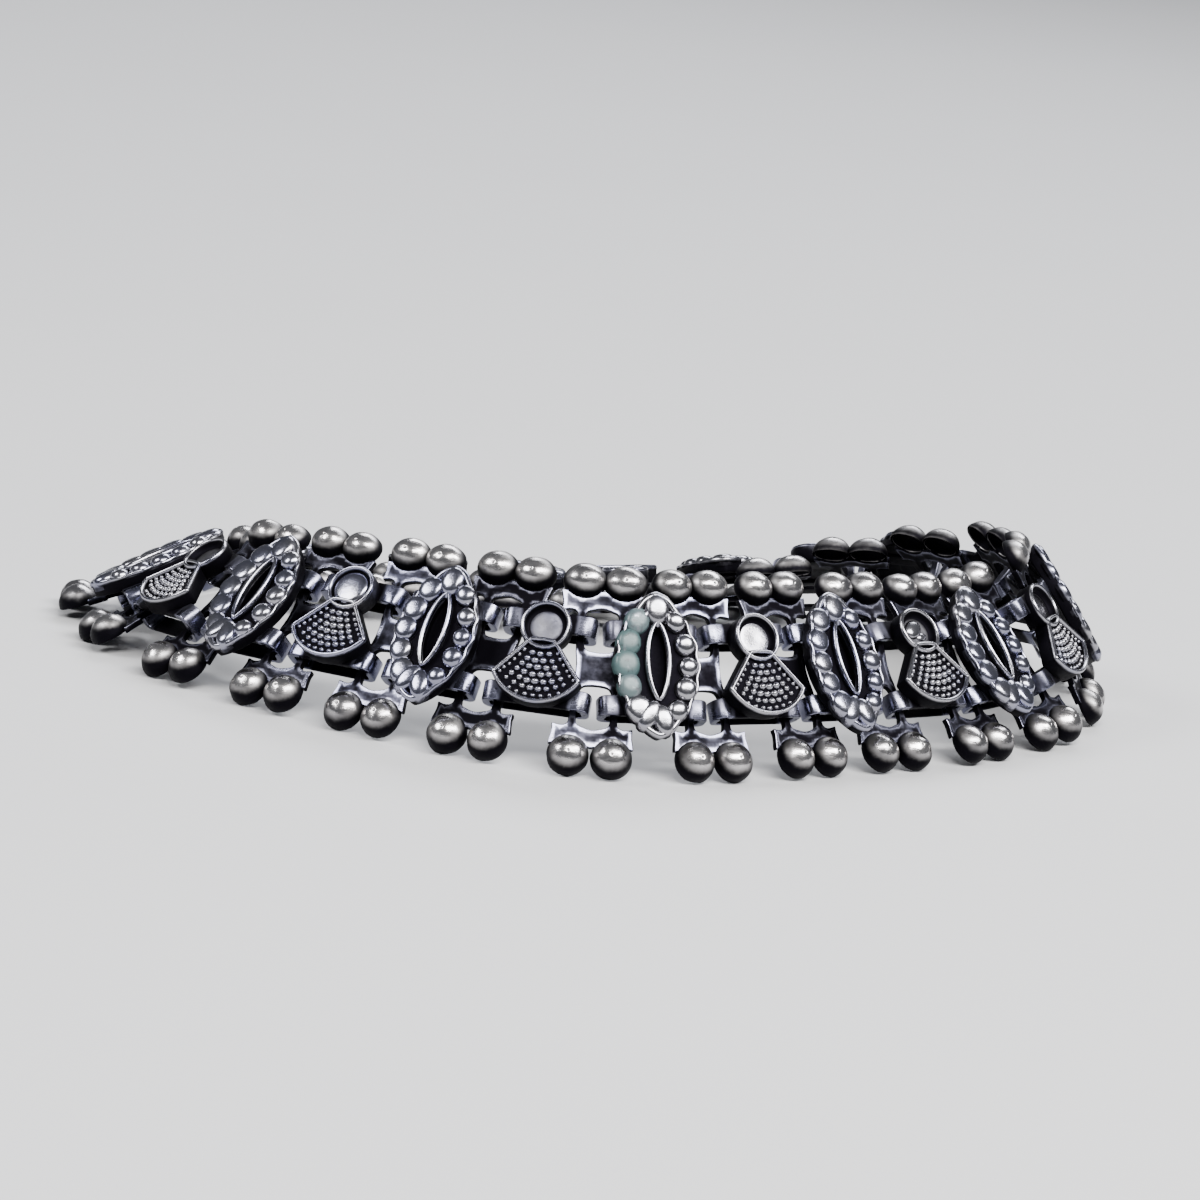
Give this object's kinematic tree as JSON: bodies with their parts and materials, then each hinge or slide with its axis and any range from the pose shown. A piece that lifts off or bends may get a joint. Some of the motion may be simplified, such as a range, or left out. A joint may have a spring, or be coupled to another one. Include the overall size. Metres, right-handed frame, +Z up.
{
  "type": "chain bracelet",
  "caption": "Closed link bracelet in oxidised silver-coloured metal: leaf and fan links hooked between links with paired hollow domes.",
  "frame": {"origin": "under the middle of the bracelet, on the surface that it lies on", "axes": "+Z up, +X along the length of the loop to the right of the front run, front run on the -Y side"},
  "size_m": [0.0856, 0.0612, 0.0148],
  "materials": {
    "polished_silver": "worn polish, dark in the recesses",
    "oxidised_silver": "oxidised, worn bright on the high relief"
  },
  "bodies": {
    "root": {"ball_link_01": "polished_silver", "fan_link_01": "oxidised_silver", "ball_link_02": "polished_silver", "leaf_link_02": "oxidised_silver", "ball_link_03": "polished_silver", "fan_link_03": "oxidised_silver", "ball_link_04": "polished_silver", "leaf_link_04": "oxidised_silver", "ball_link_05": "polished_silver", "fan_link_05": "oxidised_silver", "ball_link_06": "polished_silver", "leaf_link_06": "oxidised_silver", "ball_link_07": "polished_silver", "fan_link_07": "oxidised_silver", "ball_link_08": "polished_silver", "leaf_link_08": "oxidised_silver", "ball_link_09": "polished_silver", "fan_link_09": "oxidised_silver", "ball_link_10": "polished_silver", "leaf_link_10": "oxidised_silver", "ball_link_11": "polished_silver", "fan_link_11": "oxidised_silver", "ball_link_12": "polished_silver", "leaf_link_12": "oxidised_silver", "ball_link_13": "polished_silver", "fan_link_13": "oxidised_silver", "ball_link_14": "polished_silver", "leaf_link_14": "oxidised_silver", "ball_link_15": "polished_silver", "fan_link_15": "oxidised_silver", "ball_link_16": "polished_silver", "leaf_link_16": "oxidised_silver", "ball_link_17": "polished_silver", "fan_link_17": "oxidised_silver", "ball_link_18": "polished_silver", "leaf_link_18": "oxidised_silver", "ball_link_19": "polished_silver", "fan_link_19": "oxidised_silver", "ball_link_20": "polished_silver", "leaf_link_20": "oxidised_silver", "ball_link_21": "polished_silver", "clasp": "polished_silver", "ball_link_22": "polished_silver", "leaf_link_22": "oxidised_silver"}
  },
  "joints": []
}
